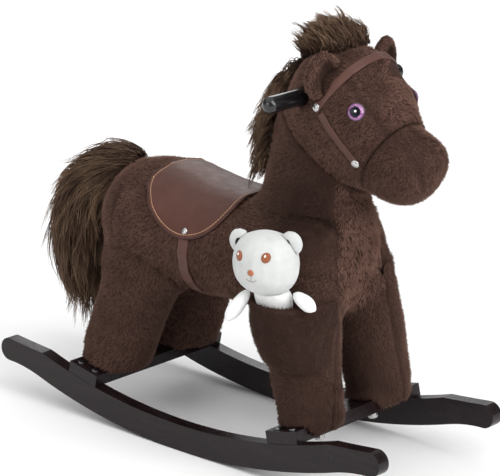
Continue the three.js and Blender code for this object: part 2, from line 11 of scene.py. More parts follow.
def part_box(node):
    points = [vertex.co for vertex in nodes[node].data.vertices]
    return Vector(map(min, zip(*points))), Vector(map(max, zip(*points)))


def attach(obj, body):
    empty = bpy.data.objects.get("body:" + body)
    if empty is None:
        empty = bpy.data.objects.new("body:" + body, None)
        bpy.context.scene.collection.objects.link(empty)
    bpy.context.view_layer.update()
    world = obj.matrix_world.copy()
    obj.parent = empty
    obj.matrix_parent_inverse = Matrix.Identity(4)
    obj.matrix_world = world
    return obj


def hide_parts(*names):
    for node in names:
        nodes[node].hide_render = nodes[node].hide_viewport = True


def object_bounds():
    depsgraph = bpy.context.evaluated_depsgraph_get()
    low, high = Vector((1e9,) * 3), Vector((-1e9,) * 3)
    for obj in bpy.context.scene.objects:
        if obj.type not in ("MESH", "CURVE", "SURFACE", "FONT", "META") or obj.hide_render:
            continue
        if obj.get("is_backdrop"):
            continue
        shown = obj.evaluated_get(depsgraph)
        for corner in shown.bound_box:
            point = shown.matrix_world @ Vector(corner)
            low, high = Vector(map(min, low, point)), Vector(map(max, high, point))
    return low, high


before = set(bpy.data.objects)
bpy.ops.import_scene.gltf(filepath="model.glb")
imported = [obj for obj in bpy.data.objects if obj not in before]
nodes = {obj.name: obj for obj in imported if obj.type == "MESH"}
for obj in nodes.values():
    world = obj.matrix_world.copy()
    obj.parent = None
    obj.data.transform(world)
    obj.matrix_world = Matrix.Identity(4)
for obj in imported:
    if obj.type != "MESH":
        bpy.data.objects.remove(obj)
cad_low, cad_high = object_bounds()
scene = bpy.context.scene

HORSE, TAIL, BEAR = "horse", "tail", "bear"
ARM_BODIES = {"front": "bear_front_arm", "rear": "bear_rear_arm"}
PLUSH = ["torso_plush", "neck_plush", "head_plush", "muzzle_plush", "bear_pocket", "ear_right", "ear_left"]
PLUSH += [f"leg_plush_{end}_{side}" for end in ("front", "rear") for side in ("right", "left")]
HAIR = ["mane", "forelock", "tail"]
INNER = [n for n in nodes if n.startswith("leg_post") or n in ("spine_board", "neck_board")]
POSTS = [n for n in INNER if n.startswith("leg_post")]
FILLED_BY = {"torso_plush": INNER, "neck_plush": ["neck_board"], "head_plush": ["neck_board"]}
FILLED_BY.update({f"leg_plush_{n.removeprefix('leg_post_')}": [n] for n in POSTS})
# The heights between which a cover's boards count as its filling. Legs have the last entry.
FILL_RANGE = {
    "torso_plush": (0.19, 0.33), "neck_plush": (0.30, 0.45), "head_plush": (0.40, 0.52), "leg": (0.10, 0.212),
}
BOARD_COVER = 0.0045  # least cloth and filling over a board
SOFT_BEAR = [n for n in nodes if n.startswith("bear_") and n != "bear_pocket"]
MID_Y = sum(corner.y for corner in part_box("muzzle_plush")) / 2
FUR_SHARE = 1.0  # fewer strands while trying things


# ---- Mesh helpers ----


def add_object(name, mesh, material=None):
    made = bpy.data.objects.new(name, mesh)
    scene.collection.objects.link(made)
    if material:
        made.data.materials.clear()
        made.data.materials.append(material)
    return made


def from_arrays(name, verts, faces, material=None, smooth=True):
    mesh = bpy.data.meshes.new(name)
    mesh.from_pydata(np.asarray(verts, float).tolist(), [], [list(map(int, f)) for f in faces])
    mesh.update()
    if smooth:
        mesh.shade_smooth()
    return add_object(name, mesh, material)


def triangles_object(name, verts, tris, material, attributes=None, smooth=False, lean=None):
    """A mesh of many triangles made straight from numpy arrays, with optional point attributes and
    optional shading normals."""
    mesh = bpy.data.meshes.new(name)
    mesh.vertices.add(len(verts))
    mesh.vertices.foreach_set("co", np.ascontiguousarray(verts, np.float32).ravel())
    mesh.loops.add(tris.size)
    mesh.loops.foreach_set("vertex_index", np.ascontiguousarray(tris, np.int32).ravel())
    mesh.polygons.add(len(tris))
    mesh.polygons.foreach_set("loop_start", np.arange(0, tris.size, 3, dtype=np.int32))
    mesh.update(calc_edges=True)
    for key, values in (attributes or {}).items():
        layer = mesh.attributes.new(key, "FLOAT", "POINT")
        layer.data.foreach_set("value", np.ascontiguousarray(values, np.float32))
    if smooth or lean is not None:
        mesh.shade_smooth()
    if lean is not None:
        mesh.normals_split_custom_set_from_vertices(np.ascontiguousarray(lean, np.float32))
    return add_object(name, mesh, material)


def numbers(items, key, kind=np.float32, width=3):
    out = np.empty(len(items) * width, kind)
    items.foreach_get(key, out)
    return out.reshape(-1, width)


def coords(mesh):
    return numbers(mesh.vertices, "co").astype(float)


def normals(mesh):
    return numbers(mesh.vertex_normals, "vector").astype(float)


def set_coords(mesh, values):
    mesh.vertices.foreach_set("co", np.ascontiguousarray(values, np.float32).ravel())
    mesh.update()


def bake(obj):
    """Replaces the object's mesh with what its modifiers make of it."""
    graph = bpy.context.evaluated_depsgraph_get()
    mesh = bpy.data.meshes.new_from_object(obj.evaluated_get(graph))
    obj.modifiers.clear()
    obj.data = mesh


def smooth_by_angle(mesh, degrees):
    mesh.shade_smooth()
    mesh.set_sharp_from_angle(angle=math.radians(degrees))


def neighbour_mean(mesh):
    """A function that gives every vertex the mean of its neighbours' values."""
    a, b = numbers(mesh.edges, "vertices", np.int32, 2).T
    a, b = np.concatenate([a, b]), np.concatenate([b, a])
    size = len(mesh.vertices)
    count = np.bincount(a, minlength=size).clip(1)

    def mean(values):
        return np.stack([np.bincount(a, values[b, k], size) / count for k in range(3)], axis=1)

    return mean


def relax(mesh, rounds):
    """Evens a surface out without shrinking it: each pull in is followed by a slightly larger push out."""
    mean, co = neighbour_mean(mesh), coords(mesh)
    for i in range(2 * rounds):
        co += (-0.52 if i % 2 else 0.5) * (mean(co) - co)
    set_coords(mesh, co)


def joined_copy(objects, heights):
    """One mesh from several. The parts after the first are swelled and kept between two heights."""
    verts, faces = [], []
    for i, obj in enumerate(objects):
        co = coords(obj.data)
        if i:
            co += np.sign(co - (co.max(0) + co.min(0)) / 2) * BOARD_COVER
            co[:, 2] = np.clip(co[:, 2], *heights)
        faces.extend([len(verts) + k for k in p.vertices] for p in obj.data.polygons)
        verts.extend(co.tolist())
    mesh = bpy.data.meshes.new("joined")
    mesh.from_pydata(verts, [], faces)
    mesh.update()
    return mesh


def remeshed(node, name, voxel, rounds, material, swell=0.0):
    """A soft piece in the shape of a frame node, with even faces and rounded edges. The boards inside it
    count as part of its filling."""
    parts = [nodes[n] for n in (node, *FILLED_BY.get(node, []))]
    obj = add_object(name, joined_copy(parts, FILL_RANGE.get(node, FILL_RANGE["leg"])))
    if swell:
        set_coords(obj.data, coords(obj.data) + normals(obj.data) * swell)
    modifier = obj.modifiers.new("remesh", "REMESH")
    modifier.mode = "VOXEL"
    modifier.voxel_size = voxel
    bake(obj)
    obj.data.materials.clear()
    obj.data.materials.append(material)
    relax(obj.data, rounds)
    obj.data.shade_smooth()
    return obj


def settle(mesh, rounds):
    """Evens out the broad faces of a sheet along their own normals and leaves its rim where it is."""
    mean, co, no = neighbour_mean(mesh), coords(mesh), normals(mesh)
    agree = np.linalg.norm(mean(mean(no)), axis=1)
    free = smoothstep(0.90, 0.99, agree)[:, None]
    for _ in range(rounds):
        step = mean(co) - co
        co += 0.5 * free * no * (step * no).sum(1, keepdims=True)
    set_coords(mesh, co)


def tree_of(objects):
    verts, faces = [], []
    for obj in objects:
        start = len(verts)
        verts.extend(v.co.copy() for v in obj.data.vertices)
        faces.extend([start + i for i in p.vertices] for p in obj.data.polygons)
    return BVHTree.FromPolygons(verts, faces)


def smoothstep(low, high, value):
    t = np.clip((value - low) / (high - low), 0, 1)
    return t * t * (3 - 2 * t)


def catmull(rows, s):
    """Catmull-Rom through evenly spaced rows at s from 0 to len(rows) - 1, for an array of s."""
    rows = np.asarray(rows, float)
    s = np.clip(np.asarray(s, float), 0, len(rows) - 1 - 1e-6)
    i = np.floor(s).astype(int)
    a, b, c, d = (rows[np.clip(i + k, 0, len(rows) - 1)] for k in (-1, 0, 1, 2))
    t = (s - i).reshape(s.shape + (1,) * (b.ndim - s.ndim))
    return 0.5 * (2 * b + (c - a) * t + (2 * a - 5 * b + 4 * c - d) * t**2 + (3 * b - a - 3 * c + d) * t**3)


def unit(v):
    return v / np.maximum(np.linalg.norm(v, axis=-1, keepdims=True), 1e-9)


def around(k, count, side, other, squash=1.0):
    """The way out to corner k of a ring of so many corners."""
    angle = 2 * math.pi * k / count
    return math.cos(angle) * side + squash * math.sin(angle) * other


def quads(rows, ring, closed=False):
    """Faces between rings of points that follow one another, and on to the first ring if closed."""
    out = []
    for j in range(rows if closed else rows - 1):
        for k in range(ring):
            a, b = ring * j + k, ring * j + (k + 1) % ring
            out.append([a, b, (b + ring) % (rows * ring), (a + ring) % (rows * ring)])
    return out


def wall(rows, ring):
    """The same faces as triangles."""
    return [corners for a, b, c, d in quads(rows, ring) for corners in ([a, b, c], [a, c, d])]


def repeated(one, count, verts):
    """The triangles of many copies of a piece that has so many vertices."""
    return (verts * np.arange(count)[:, None, None] + np.array(one)[None]).reshape(-1, 3)


# ---- Materials ----


class Nodes:
    """A material and short ways to add nodes to it."""

    def __init__(self, name):
        self.material = bpy.data.materials.new(name)
        self.material.use_nodes = True
        self.tree = self.material.node_tree
        self.shader = self.tree.nodes["Principled BSDF"]

    def add(self, kind, **settings):
        node = self.tree.nodes.new(kind)
        for key, value in settings.items():
            setattr(node, key, value)
        return node

    def link(self, out, into):
        self.tree.links.new(out, into)

    def set(self, **values):
        for key, value in values.items():
            self.shader.inputs[key.replace("_", " ")].default_value = value

    def place(self):
        return self.add("ShaderNodeTexCoord").outputs["Object"]

    def cells(self, scale):
        node = self.add("ShaderNodeTexVoronoi")
        node.inputs["Scale"].default_value = scale
        self.link(self.place(), node.inputs["Vector"])
        return node

    def noise(self, scale, detail=3.0, rough=0.5, stretch=None):
        node = self.add("ShaderNodeTexNoise")
        for key, value in (("Scale", scale), ("Detail", detail), ("Roughness", rough)):
            node.inputs[key].default_value = value
        place = self.place()
        if stretch:
            mapping = self.add("ShaderNodeMapping")
            mapping.inputs["Scale"].default_value = stretch
            self.link(place, mapping.inputs["Vector"])
            place = mapping.outputs["Vector"]
        self.link(place, node.inputs["Vector"])
        return node.outputs["Fac"]

    def ramp(self, fac, stops):
        node = self.add("ShaderNodeValToRGB")
        elements = node.color_ramp.elements
        while len(elements) < len(stops):
            elements.new(0.5)
        for element, (place, colour) in zip(elements, stops):
            element.position = place
            element.color = (*colour, 1)
        self.link(fac, node.inputs["Fac"])
        return node.outputs["Color"]

    def math(self, kind, a, b):
        node = self.add("ShaderNodeMath", operation=kind)
        for socket, value in zip(node.inputs, (a, b)):
            if isinstance(value, (int, float)):
                socket.default_value = value
            else:
                self.link(value, socket)
        return node.outputs[0]

    def range(self, value, low, high, to_low, to_high):
        node = self.add("ShaderNodeMapRange")
        self.link(value, node.inputs["Value"])
        for key, number in zip(("From Min", "From Max", "To Min", "To Max"), (low, high, to_low, to_high)):
            node.inputs[key].default_value = number
        return node.outputs["Result"]

    def bump(self, height, distance, strength=1.0):
        node = self.add("ShaderNodeBump")
        node.inputs["Distance"].default_value = distance
        node.inputs["Strength"].default_value = strength
        self.link(height, node.inputs["Height"])
        self.link(node.outputs["Normal"], self.shader.inputs["Normal"])

    def attribute(self, name):
        return self.add("ShaderNodeAttribute", attribute_name=name).outputs["Fac"]

    def colour(self, out):
        self.link(out, self.shader.inputs["Base Color"])

    def uneven_gloss(self, spots, low, high):
        """Roughness between low and high, in spots."""
        self.link(self.range(spots, 0.3, 0.7, low, high), self.shader.inputs["Roughness"])


def strand_material(name, root, middle, tip, rough, sheen):
    """Colour runs from root to tip, lighter or darker with each strand's own tint, then scaled by the
    strand's painted light and shade.
    """
    m = Nodes(name)
    place = m.math("MULTIPLY_ADD", m.attribute("tint"), 0.55)
    m.link(m.attribute("along"), place.node.inputs[2])
    stops = [(0.0, root), (0.5, middle), (0.9, tip)]
    own = m.ramp(m.math("ADD", place, m.range(m.noise(28), 0.3, 0.7, -0.12, 0.12)), stops)
    # Painted light and shade: the ramp's colour times the strand's painted factor.
    with_painted_light_and_shade = m.add("ShaderNodeVectorMath", operation="SCALE")
    m.link(own, with_painted_light_and_shade.inputs[0])
    m.link(m.attribute("shade"), with_painted_light_and_shade.inputs["Scale"])
    m.colour(with_painted_light_and_shade.outputs[0])
    m.set(Roughness=rough, Sheen_Weight=sheen, Sheen_Roughness=0.5, Specular_IOR_Level=0.12)
    m.shader.inputs["Sheen Tint"].default_value = (*[min(1, 5 * c) for c in tip], 1)
    return m.material


def plush_base(name, dark, light):
    m = Nodes(name)
    m.colour(m.ramp(m.noise(160, 6, 0.7), [(0.3, dark), (0.7, light)]))
    m.set(Roughness=0.95, Specular_IOR_Level=0.1)
    m.bump(m.noise(900, 2, 0.6), 0.001)
    return m.material


def lacquered_wood(name, dark, light, rough, coat):
    m = Nodes(name)
    grain = m.noise(9, 8, 0.65, stretch=(1.2, 14, 22))
    pores = m.noise(60, 4, 0.7, stretch=(1, 18, 30))
    both = m.math("ADD", m.math("MULTIPLY", grain, 0.7), m.math("MULTIPLY", pores, 0.3))
    m.colour(m.ramp(both, [(0.36, dark), (0.66, light)]))
    m.uneven_gloss(m.noise(40, 3), rough * 0.8, rough * 1.25)
    m.set(Coat_Weight=coat, Coat_Roughness=0.18, Specular_IOR_Level=0.22)
    m.bump(both, 0.0004, 0.35)
    return m.material


def leather(name, dark, light, rough):
    m = Nodes(name)
    m.colour(m.ramp(m.noise(14, 4, 0.55), [(0.3, dark), (0.72, light)]))
    m.uneven_gloss(m.noise(90, 4), rough * 0.85, rough * 1.2)
    m.set(Specular_IOR_Level=0.18, Coat_Weight=0.02, Coat_Roughness=0.3)
    grain = m.math("MULTIPLY", m.cells(1100).outputs["Distance"], 0.5)
    m.bump(m.math("ADD", grain, m.noise(320, 3)), 0.00035, 0.5)
    return m.material


def metal(name, colour, rough):
    m = Nodes(name)
    m.colour(m.ramp(m.noise(120, 3), [(0.3, [0.85 * c for c in colour]), (0.7, colour)]))
    m.uneven_gloss(m.noise(400, 3), rough * 0.8, rough * 1.3)
    m.set(Metallic=1.0)
    return m.material


def gloss(name, dark, light, rough, coat=0.6, specular=0.5):
    m = Nodes(name)
    m.colour(m.ramp(m.noise(70, 3), [(0.3, dark), (0.7, light)]))
    m.uneven_gloss(m.noise(150, 3), rough * 0.8, rough * 1.3)
    m.set(Coat_Weight=coat, Coat_Roughness=0.06, Specular_IOR_Level=specular)
    m.bump(m.noise(260, 2), 0.0002, 0.15)
    return m.material


def velour(name, dark, light):
    m = Nodes(name)
    m.colour(m.ramp(m.noise(55, 5, 0.6), [(0.25, dark), (0.75, light)]))
    m.set(Roughness=0.9, Sheen_Weight=0.35, Sheen_Roughness=0.5, Specular_IOR_Level=0.15)
    height = m.math("ADD", m.noise(1500, 3, 0.7), m.math("MULTIPLY", m.noise(420, 3), 1.2))
    m.bump(height, 0.0006, 0.5)
    return m.material


def glitter_ring(name):
    """Iris foil: pink to purple flakes, each with its own brightness."""
    m = Nodes(name)
    split = m.add("ShaderNodeSeparateColor")
    m.link(m.cells(1500).outputs["Color"], split.inputs[0])
    flakes = [(0.06, 0.015, 0.07), (0.24, 0.07, 0.22), (0.46, 0.19, 0.44), (0.8, 0.52, 0.75)]
    m.colour(m.ramp(split.outputs[0], list(zip((0.0, 0.4, 0.75, 1.0), flakes))))
    m.set(Metallic=0.3, Roughness=0.4, Coat_Weight=0.25, Coat_Roughness=0.08)
    m.bump(split.outputs[1], 0.0002, 0.6)
    return m.material


PILE_COLOURS = (0.058, 0.030, 0.022), (0.098, 0.052, 0.039), (0.150, 0.085, 0.065)
HAIR_COLOURS = (0.018, 0.010, 0.007), (0.068, 0.038, 0.025), (0.18, 0.112, 0.070)
FUR = strand_material("plush_pile", *PILE_COLOURS, 0.8, 0.10)
SKIN = plush_base("plush_backing", (0.034, 0.017, 0.013), (0.052, 0.027, 0.021))
LONG_HAIR = strand_material("long_hair", *HAIR_COLOURS, 0.55, 0.06)
HAIR_CORE = plush_base("hair_backing", (0.012, 0.007, 0.005), (0.03, 0.018, 0.012))
WOOD = lacquered_wood("espresso_lacquer", (0.0045, 0.0024, 0.0028), (0.016, 0.0085, 0.0098), 0.28, 0.1)
RAW_WOOD = lacquered_wood("raw_board", (0.35, 0.23, 0.13), (0.62, 0.45, 0.28), 0.7, 0.0)
SADDLE = leather("saddle_leather", (0.060, 0.023, 0.016), (0.098, 0.041, 0.030), 0.40)
PIPING = leather("saddle_edge", (0.045, 0.018, 0.013), (0.07, 0.031, 0.024), 0.42)
STRAP = leather("strap_leather", (0.065, 0.028, 0.021), (0.105, 0.050, 0.039), 0.42)
STITCH = velour("tan_thread", (0.40, 0.21, 0.11), (0.60, 0.35, 0.20))
STEEL = metal("bright_steel", (0.55, 0.54, 0.53), 0.25)
DARK_STEEL = metal("dark_steel", (0.11, 0.11, 0.12), 0.32)
BLACK = gloss("black_lacquer", (0.003, 0.003, 0.0035), (0.008, 0.008, 0.009), 0.2, 0.25)
PUPIL = gloss("pupil", (0.002, 0.002, 0.005), (0.006, 0.006, 0.012), 0.22, 0.1, 0.2)
RIM = gloss("eye_rim", (0.03, 0.010, 0.024), (0.07, 0.026, 0.058), 0.3, 0.2)
IRIS = glitter_ring("iris_foil")
# The bear's white velour in two copies: painted darker on the head and ears as painted shade, because much
# light falls on top, and painted lighter on the body and arms as painted light, because they sit in the
# pocket's shade.
BEAR_WHITE_PAINTED_SHADE = velour("bear_velour", (0.50, 0.51, 0.50), (0.60, 0.61, 0.60))
BEAR_WHITE_PAINTED_LIGHT = velour("bear_body_velour", (0.80, 0.81, 0.80), (0.90, 0.91, 0.90))
BROWN_FELT = velour("bear_eye_felt", (0.20, 0.062, 0.028), (0.34, 0.12, 0.055))
NOSE_FELT = velour("bear_nose_felt", (0.33, 0.105, 0.045), (0.46, 0.17, 0.08))
BLACK_FELT = velour("bear_ear_felt", (0.006, 0.006, 0.007), (0.02, 0.02, 0.022))
THREAD = velour("bear_mouth_thread", (0.16, 0.13, 0.12), (0.24, 0.20, 0.18))
# White for the painted highlights on the horse's eyes and for the printed dots in the bear's eyes.
GLINT_PAINTED_AND_PRINTED = gloss("glint_white", (0.8, 0.78, 0.76), (0.92, 0.9, 0.9), 0.3)

# ---- Soft skins and their cloth pass ----

# The grain of each cover's mesh, where it isn't 5 mm.
VOXEL = {"bear_pocket": 0.0020, "ear_right": 0.0026, "ear_left": 0.0026}
skins = {}
for node in PLUSH:
    name = node.replace("_plush", "") + "_cover"
    rounds = 5 if node.startswith("ear") else 12
    swell = 0.0012 if node == "bear_pocket" else 0.0
    skins[node] = remeshed(node, name, VOXEL.get(node, 0.005), rounds, SKIN, swell)
for node in SOFT_BEAR:
    # The body and arms take the lighter copy (painted light), the head and ears the darker one (painted
    # shade).
    white = BEAR_WHITE_PAINTED_LIGHT if "arm" in node or "body" in node else BEAR_WHITE_PAINTED_SHADE
    skins[node] = remeshed(node, node.replace("bear_", "bear_soft_"), 0.0024, 14, white)

# The most that the cloth run may move each cover, where it isn't 4.5 mm.
CAP = {"bear_pocket": 0.002, "ear_right": 0.001, "ear_left": 0.001}
CAP.update({node: 0.0015 for node in SOFT_BEAR})


def distance_to(tree, p, most):
    found = [tree.find_nearest(Vector(q), most)[3] for q in p]
    return np.array([most if d is None else d for d in found])


def room(node, p, boards=False):
    """How free each point is to move: 0 where a neighbour lies on the cover, 1 away from all of them."""
    tree = tree_of([obj for key, obj in nodes.items() if key != node and (boards or key not in INNER)])
    return smoothstep(0.002, 0.014, distance_to(tree, p, 0.016))


CLOTH = {
    "quality": 3, "mass": 0.3, "tension_stiffness": 12, "compression_stiffness": 12, "shear_stiffness": 4,
    "bending_stiffness": 0.4, "use_pressure": True, "uniform_pressure_force": 4,
}


def inflate(keys):
    """One short cloth run with pressure inside each cover. Places that lie on a neighbour keep still, so
    the filling swells between the seams."""
    rest = {}
    for key in keys:
        obj = skins[key]
        rest[key] = coords(obj.data)
        cloth = obj.modifiers.new("cloth", "CLOTH")
        for name, value in CLOTH.items():
            setattr(cloth.settings, name, value)
        cloth.settings.effector_weights.gravity = 0
        cloth.collision_settings.use_collision = False
    for number in range(1, 21):
        scene.frame_set(number)
    graph = bpy.context.evaluated_depsgraph_get()
    moved = {key: coords(skins[key].evaluated_get(graph).data) for key in keys}
    for key in keys:
        obj = skins[key]
        obj.modifiers.clear()
        step = moved[key] - rest[key]
        size = np.linalg.norm(step, axis=1, keepdims=True)
        step *= np.minimum(1, CAP.get(key, 0.0045) / np.maximum(size, 1e-9))
        set_coords(obj.data, rest[key] + step * room(key, rest[key])[:, None])
    scene.frame_set(1)


inflate(list(skins))

# The sewn seam down the chest and each foreleg: height, and distance from the mid-plane.
FRONT_SEAM = [
    (0.060, 0.071), (0.107, 0.065), (0.124, 0.062), (0.147, 0.058), (0.179, 0.053), (0.211, 0.048),
    (0.242, 0.045), (0.264, 0.043), (0.289, 0.041), (0.306, 0.037), (0.325, 0.036), (0.360, 0.033),
    (0.40, 0.031),
]


def seam_offset(p):
    """Signed distance from the front seams: below 0 between them, above 0 outside them."""
    heights, across = np.array(FRONT_SEAM).T
    return np.abs(p[:, 1] - MID_Y) - np.interp(p[:, 2], heights, across)


def seam_distance(p):
    return np.where(p[:, 0] > 0.14, np.abs(seam_offset(p)), 1.0)


# The edges of the panel down the face: x, distance from the mid-plane, and height.
FACE_SEAMS = {
    "head_plush": [
        (0.208, 0.0473, 0.508), (0.2186, 0.0465, 0.4972), (0.2308, 0.0461, 0.4858), (0.2407, 0.0448, 0.475),
        (0.2508, 0.0419, 0.4627), (0.2588, 0.0384, 0.4525), (0.264, 0.034, 0.443),
    ],
    "muzzle_plush": [
        (0.272, 0.029, 0.440), (0.2876, 0.0321, 0.4343), (0.297, 0.0324, 0.4275), (0.3045, 0.0302, 0.4199),
        (0.3085, 0.0273, 0.4079), (0.3089, 0.0238, 0.3974), (0.306, 0.016, 0.384),
    ],
}


def face_seam(node, p):
    """1 on the face's seams, falling to 0 a few millimetres away. The cover lies 3 mm inside them."""
    q = np.stack([p[:, 0], np.abs(p[:, 1] - MID_Y), p[:, 2]], axis=1)
    line = np.array(FACE_SEAMS[node])
    nearest = np.full(len(q), 1.0)
    for a, b in zip(line, line[1:]):
        t = np.clip(((q - a) @ (b - a)) / ((b - a) @ (b - a)), 0, 1)
        nearest = np.minimum(nearest, np.linalg.norm(q - a - t[:, None] * (b - a), axis=1))
    return np.exp(-((np.maximum(nearest - 0.0032, 0) / 0.0026) ** 2))


SEAMED = ["torso_plush", "neck_plush", "leg_plush_front_right", "leg_plush_front_left"]
PILE_ROOM = 0.0035  # the covers draw in by this much, to leave room for the pile
LUMPS = 0.0011
for node in PLUSH:
    mesh = skins[node].data
    co, no = coords(mesh), normals(mesh)
    if node != "bear_pocket" and not node.startswith("ear"):
        co -= no * (PILE_ROOM * room(node, co, boards=True))[:, None]
    lumps = np.array([noise.noise(Vector(p) * 22) + 0.5 * noise.noise(Vector(p) * 55) for p in co])
    co += no * (lumps * LUMPS)[:, None]
    if node in SEAMED:
        co -= no * (0.0030 * np.exp(-((seam_distance(co) / 0.0035) ** 2)))[:, None]
    if node in FACE_SEAMS:
        co -= no * (0.0022 * face_seam(node, co))[:, None]
    set_coords(mesh, co)

for node in PLUSH + SOFT_BEAR:
    obj = skins[node]
    if node in SOFT_BEAR:
        modifier = obj.modifiers.new("subdivide", "SUBSURF")
        modifier.levels = modifier.render_levels = 1
        bake(obj)
    body = HORSE if node in PLUSH else BEAR
    if node.startswith("bear_arm"):
        body = ARM_BODIES[node.removeprefix("bear_arm_")]
    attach(obj, body)
    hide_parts(node)

# ---- Short pile over the covers ----

HARD = [n for n in nodes if n not in PLUSH and n not in HAIR and n not in INNER]
hard_tree = tree_of([nodes[n] for n in HARD])
inner_tree = tree_of([nodes[n] for n in INNER])


def sample_surface(mesh, count, rng):
    """Even random points on a mesh with their smooth normals."""
    mesh.calc_loop_triangles()
    tris = numbers(mesh.loop_triangles, "vertices", np.int32)
    co, no = coords(mesh), normals(mesh)
    a, b, c = co[tris[:, 0]], co[tris[:, 1]], co[tris[:, 2]]
    area = np.linalg.norm(np.cross(b - a, c - a), axis=1)
    pick = rng.choice(len(tris), size=count, p=area / area.sum())
    u, v = rng.random((2, count))
    flip = u + v > 1
    u[flip], v[flip] = 1 - u[flip], 1 - v[flip]
    w = np.stack([1 - u - v, u, v], axis=1)[:, :, None]
    return (co[tris[pick]] * w).sum(1), unit((no[tris[pick]] * w).sum(1))


def spikes(points, directions, lengths, width, sideways):
    """Closed three-sided pyramids, as vertices and triangles."""
    side = unit(sideways)
    other = unit(np.cross(directions, side))
    feet = [points + width * around(k, 3, side, other) for k in range(3)]
    tips = points + directions * lengths[:, None]
    verts = np.stack([*feet, tips], axis=1).reshape(-1, 3)
    return verts, repeated([[0, 2, 1], [0, 1, 3], [1, 2, 3], [2, 0, 3]], len(points), 4)


def comb_field(p):
    """The way the pile lies: back and down on the body, swept a little by slow noise."""
    lie = np.tile([-0.45, 0.0, -1.0], (len(p), 1))
    slow = np.array([noise.noise_vector(Vector(q) * 9) for q in p])
    quick = np.array([noise.noise_vector(Vector(q) * 60) for q in p])
    return lie + 1.1 * slow + 0.9 * quick


def buried(start, way, others):
    """Whether a strand would start inside a neighbour or right under one."""
    spot, outward, *_ = others.find_nearest(start, 0.08)
    if spot is not None and (start - spot).dot(outward) < -0.0008:
        return True
    blocks = (others, 0.0025), (hard_tree, 0.011), (inner_tree, 0.002)
    return any(tree.ray_cast(start, way, reach)[0] is not None for tree, reach in blocks)


def beside(p, covers, low, high):
    """One where a point is nearer than low to any of the covers, and zero farther than high."""
    return 1 - smoothstep(low, high, distance_to(tree_of([skins[k] for k in covers]), p, 0.012))


def ear_painted_light_and_shade(node, p, n):
    """Painted shade inside the ear's cup and painted light along its rolled rim, as a factor on the pile's
    colour.
    """
    co = coords(skins[node].data)
    middle = co.mean(0)
    axes = np.linalg.svd(co - middle, full_matrices=False)[2]
    facing = axes[2] if axes[2] @ np.array([1.0, 0, 0]) > 0 else -axes[2]
    spread = [np.abs((co - middle) @ axis).max() for axis in axes[:2]]
    out = np.hypot(*[((p - middle) @ axis) / most for axis, most in zip(axes[:2], spread)])
    front = smoothstep(-0.1, 0.35, n @ facing)
    cup = front * (1 - smoothstep(0.50, 0.74, out))
    rim = smoothstep(0.66, 0.86, out)
    return 1.08 + 0.30 * rim * (1 - cup) - 0.76 * cup


